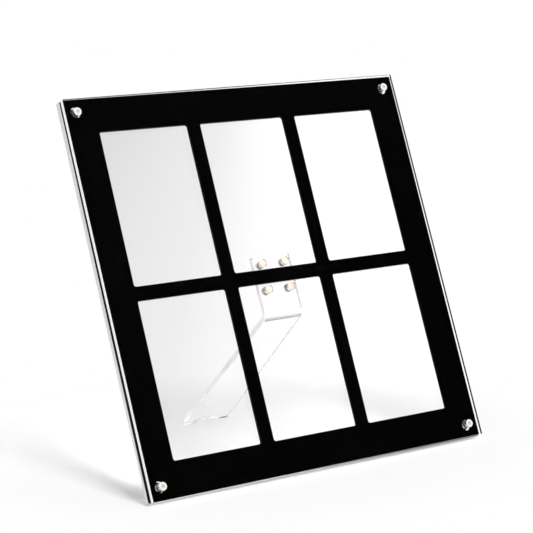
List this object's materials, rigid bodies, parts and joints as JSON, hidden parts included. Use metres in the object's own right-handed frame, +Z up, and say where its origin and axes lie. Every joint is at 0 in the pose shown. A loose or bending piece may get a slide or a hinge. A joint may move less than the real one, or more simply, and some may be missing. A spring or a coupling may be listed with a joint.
{
  "type": "collage photo frame",
  "caption": "Clear acrylic collage photo frame with a black windowed mat, corner screws and a bent acrylic stand leg, for showing photo prints on a desk or shelf.",
  "frame": {"origin": "on the table, in the middle of the space that the standing frame takes", "axes": "+X to the right of the picture as it is seen, the picture faces -Y, +Z up"},
  "size_m": [0.3532, 0.2134, 0.3315],
  "materials": {
    "clear_acrylic": "clear polished acrylic",
    "black_mat": "smooth black acrylic",
    "bright_screw": "bright nickel",
    "insert_steel": "plain turned steel",
    "post_nickel": "satin nickel, warm"
  },
  "bodies": {
    "back": {"rear_panel": "clear_acrylic", "stand_leg": "clear_acrylic", "corner_insert_1": "insert_steel", "corner_insert_2": "insert_steel", "corner_insert_3": "insert_steel", "corner_insert_4": "insert_steel", "stand_barrel_1": "post_nickel", "stand_barrel_2": "post_nickel", "stand_barrel_3": "post_nickel", "stand_barrel_4": "post_nickel", "stand_screw_1": "post_nickel", "stand_screw_2": "post_nickel", "stand_screw_3": "post_nickel", "stand_screw_4": "post_nickel"},
    "mat": {"photo_mat": "black_mat"},
    "cover": {"front_panel": "clear_acrylic"},
    "screw_1": {"corner_screw_1": "bright_screw"},
    "screw_2": {"corner_screw_2": "bright_screw"},
    "screw_3": {"corner_screw_3": "bright_screw"},
    "screw_4": {"corner_screw_4": "bright_screw"}
  },
  "joints": [
    {"name": "mat_lift", "type": "slide", "parent": "back", "child": "mat", "axis": [0, -0.9205, 0.3907], "range_m": [0, 0.03]},
    {"name": "cover_lift", "type": "slide", "parent": "mat", "child": "cover", "axis": [0, -0.9205, 0.3907], "range_m": [0, 0.04]},
    {"name": "screw_1_out", "type": "slide", "parent": "cover", "child": "screw_1", "axis": [0, -0.9205, 0.3907], "range_m": [0, 0.02]},
    {"name": "screw_2_out", "type": "slide", "parent": "cover", "child": "screw_2", "axis": [0, -0.9205, 0.3907], "range_m": [0, 0.02]},
    {"name": "screw_3_out", "type": "slide", "parent": "cover", "child": "screw_3", "axis": [0, -0.9205, 0.3907], "range_m": [0, 0.02]},
    {"name": "screw_4_out", "type": "slide", "parent": "cover", "child": "screw_4", "axis": [0, -0.9205, 0.3907], "range_m": [0, 0.02]}
  ]
}
